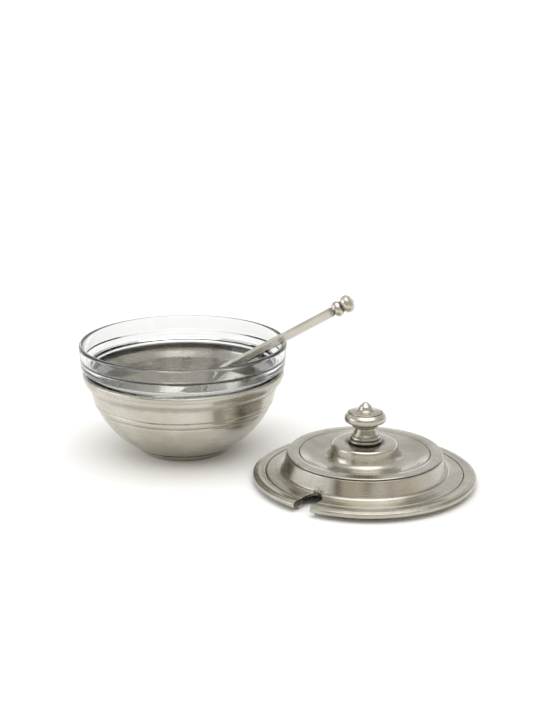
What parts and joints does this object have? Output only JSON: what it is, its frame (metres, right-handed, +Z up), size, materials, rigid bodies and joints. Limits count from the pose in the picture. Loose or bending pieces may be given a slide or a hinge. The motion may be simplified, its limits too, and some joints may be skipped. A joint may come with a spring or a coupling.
{
  "type": "lidded condiment pot with spoon",
  "caption": "Footed pewter holder with a loose clear glass bowl, a knobbed pewter lid notched for a spoon, and a pewter spoon leaning in the glass.",
  "frame": {"origin": "centre of the foot's flat underside, on the surface that the pot stands on", "axes": "+Z up, +X to the side where the lid lies, +Y to the back, away from the side the lid's notch faces"},
  "size_m": [0.1954, 0.1543, 0.0824],
  "materials": {
    "holder_pewter": "satin spun pewter, warm grey",
    "clear_glass": "clear pressed glass",
    "lid_pewter": "satin spun pewter with dark incised lines",
    "knob_pewter": "satin cast pewter",
    "spoon_pewter": "satin cast pewter",
    "fixing_steel": "plain bright steel"
  },
  "bodies": {
    "holder": {"holder_bowl": "holder_pewter", "foot": "holder_pewter"},
    "liner": {"glass_liner": "clear_glass"},
    "spoon": {"spoon_stem": "spoon_pewter", "spoon_finial": "spoon_pewter"},
    "lid": {"lid_cover": "lid_pewter", "locating_ring": "lid_pewter", "lid_knob": "knob_pewter", "knob_washer": "fixing_steel", "knob_screw": "fixing_steel"}
  },
  "joints": [
    {"name": "liner_lift", "type": "slide", "parent": "holder", "child": "liner", "axis": [0, 0, 1], "range_m": [0, 0.06]},
    {"name": "spoon_lift", "type": "slide", "parent": "liner", "child": "spoon", "axis": [0, 0, 1], "range_m": [0, 0.08]},
    {"name": "lid_lift", "type": "slide", "parent": "holder", "child": "lid", "axis": [0.5051, -0.272, 0.8191], "range_m": [0, 0.1]}
  ]
}
